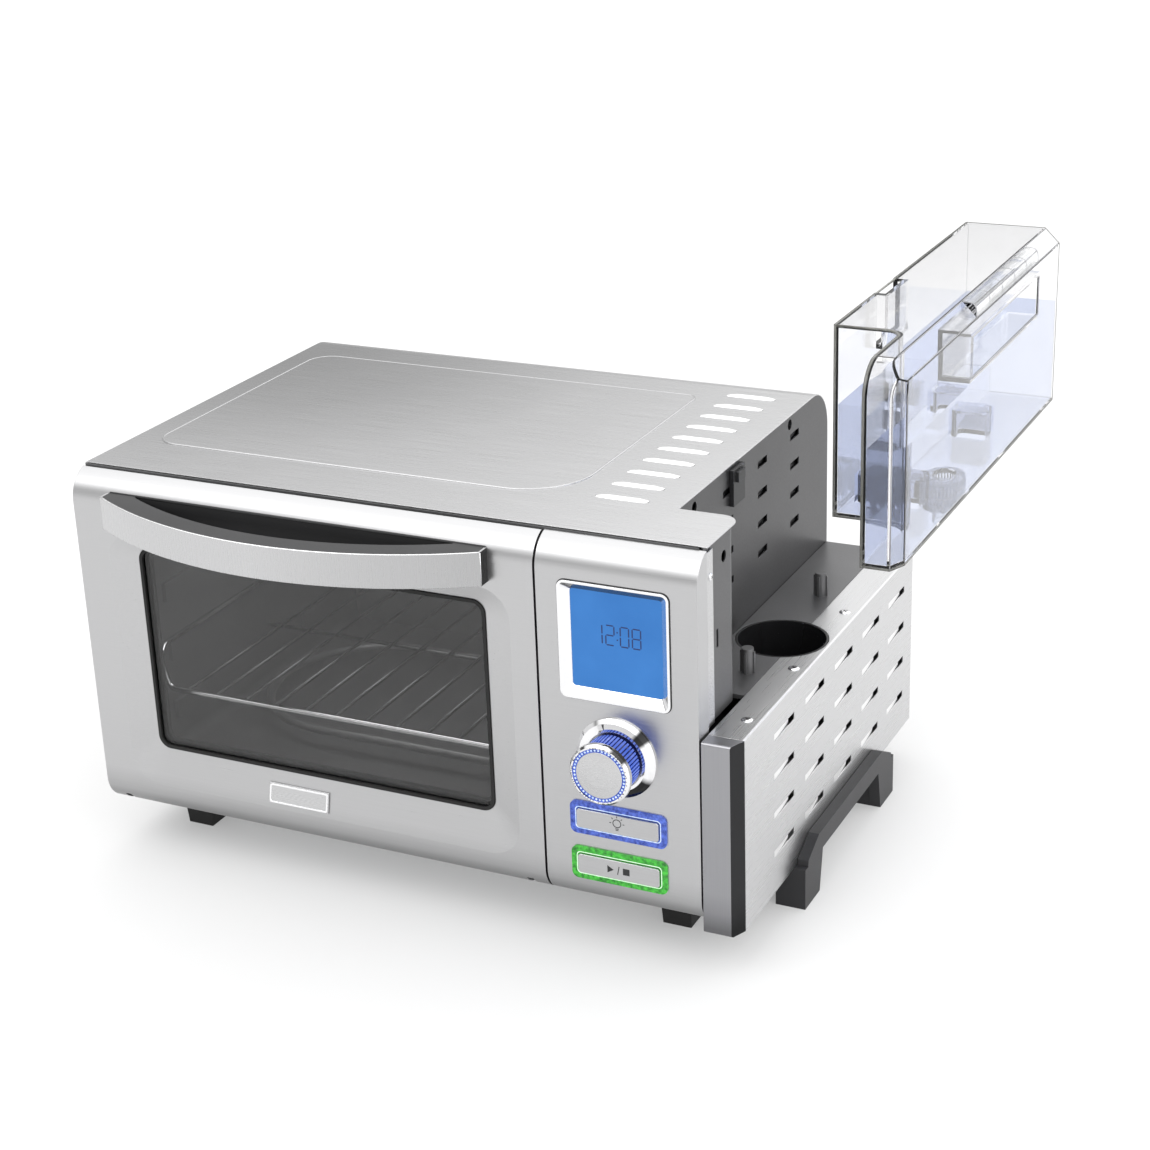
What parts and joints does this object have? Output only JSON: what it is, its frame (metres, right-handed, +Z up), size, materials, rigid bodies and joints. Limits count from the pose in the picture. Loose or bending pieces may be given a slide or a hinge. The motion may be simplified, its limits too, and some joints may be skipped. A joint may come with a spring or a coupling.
{
  "type": "countertop steam oven",
  "caption": "Compact countertop steam oven with a drop-down glass door, bowed handle, display, lit dial and keys, wire rack and a lift-out clear water tank in a side bay",
  "frame": {"origin": "on the counter under the middle of the bounding box, with the water tank held up beside the oven as drawn", "axes": "+X to the right seen from the front, -Y out of the front, +Z up"},
  "size_m": [0.578, 0.4, 0.411],
  "materials": {
    "steel": "brushed stainless steel, horizontal grain",
    "side_steel": "satin steel of the base",
    "dark_sheet": "dark grey painted sheet",
    "galvanised": "plain zinc sheet",
    "liner": "chamber liner",
    "chrome": "polished",
    "wire": "bright drawn wire",
    "dark_plastic": "dark grey satin plastic",
    "black_plastic": "black plastic",
    "satin_metal": "satin silver",
    "blue_glow": "translucent, lit blue",
    "green_glow": "translucent, lit green",
    "smoked_glass": "smoked",
    "display_glass": "blue lit display",
    "clear_plastic": "clear moulded plastic",
    "rubber": "black rubber",
    "white_plastic": "natural plastic",
    "silicone": "grey silicone",
    "board": "circuit board",
    "hose": "translucent silicone hose"
  },
  "bodies": {
    "oven": {"base_cover": "side_steel", "base_front": "side_steel", "bay_side_sheet": "dark_sheet", "bay_tray": "black_plastic", "bay_trim_strip": "satin_metal", "bay_wall": "dark_sheet", "bottom_pan": "galvanised", "casing_screws": "chrome", "chamber": "liner", "control_board": "board", "control_panel": "steel", "cord_gland": "black_plastic", "dial_encoder": "black_plastic", "dial_ring": "chrome", "display_frame": "chrome", "display_glass": "display_glass", "display_module": "black_plastic", "fan_can": "galvanised", "fan_grille": "liner", "fan_motor": "galvanised", "front_frame": "steel", "heating_elements": "liner", "hinge_brackets": "galvanised", "lamp_holder": "white_plastic", "lamp_lens": "clear_plastic", "light_key_frame": "blue_glow", "outer_cover": "steel", "power_board": "board", "rear_panel": "galvanised", "rubber_feet": "rubber", "side_bracket": "dark_plastic", "start_key_frame": "green_glow", "steam_boiler": "galvanised", "tank_catch": "dark_plastic", "valve_cup": "black_plastic", "water_hoses": "hose", "water_pump": "black_plastic"},
    "door": {"door_skin": "steel", "door_inner_panel": "steel", "door_glass": "smoked_glass", "window_gasket": "silicone", "door_seal": "silicone", "handle_grip": "dark_plastic", "handle_strip": "satin_metal", "handle_screws": "chrome", "door_badge": "satin_metal", "hinge_cheeks": "galvanised"},
    "rack": {"wire_rack": "wire"},
    "dial_push_body": {"encoder_plunger": "white_plastic"},
    "dial": {"dial_barrel": "blue_glow", "dial_bezel": "chrome", "dial_light_ring": "blue_glow", "dial_cap": "satin_metal"},
    "light_key_body": {"light_key": "steel"},
    "start_key_body": {"start_key": "steel"},
    "water_tank": {"tank_body": "clear_plastic", "tank_cap": "clear_plastic", "cap_seal": "silicone"},
    "valve_body": {"tank_valve": "white_plastic"},
    "fan": {"fan_impeller": "galvanised"}
  },
  "joints": [
    {"name": "door_hinge", "type": "hinge", "parent": "oven", "child": "door", "pos_m": [-0.116, -0.142, 0.044], "axis": [1, 0, 0], "range_deg": [0, 80], "stiffness_Nm_per_rad": 0.5, "springref_deg": -34.38},
    {"name": "rack_slide", "type": "slide", "parent": "oven", "child": "rack", "axis": [0, -1, 0], "range_m": [0, 0.0605]},
    {"name": "dial_push", "type": "slide", "parent": "oven", "child": "dial_push_body", "axis": [0, 1, 0], "range_m": [0, 0.0012], "stiffness_N_per_m": 300},
    {"name": "dial_turn", "type": "hinge", "parent": "dial_push_body", "child": "dial", "pos_m": [0.1105, -0.152, 0.1424], "axis": [0, 1, 0], "continuous": true},
    {"name": "light_key_push", "type": "slide", "parent": "oven", "child": "light_key_body", "axis": [0, 1, 0], "range_m": [0, 0.0012], "stiffness_N_per_m": 300},
    {"name": "start_key_push", "type": "slide", "parent": "oven", "child": "start_key_body", "axis": [0, 1, 0], "range_m": [0, 0.0012], "stiffness_N_per_m": 300},
    {"name": "tank_lift", "type": "slide", "parent": "oven", "child": "water_tank", "axis": [0.6109, 0, 0.7917], "range_m": [-0.16042, 0]},
    {"name": "valve_push", "type": "slide", "parent": "water_tank", "child": "valve_body", "axis": [0, 0, 1], "range_m": [0, 0.003], "stiffness_N_per_m": 120},
    {"name": "fan_spin", "type": "hinge", "parent": "oven", "child": "fan", "pos_m": [0.041, 0.013, 0.16], "axis": [1, 0, 0], "continuous": true}
  ],
  "couplings": [
    {"joint": "rack_slide", "follows": "door_hinge", "m_per_rad": 0.042972}
  ]
}
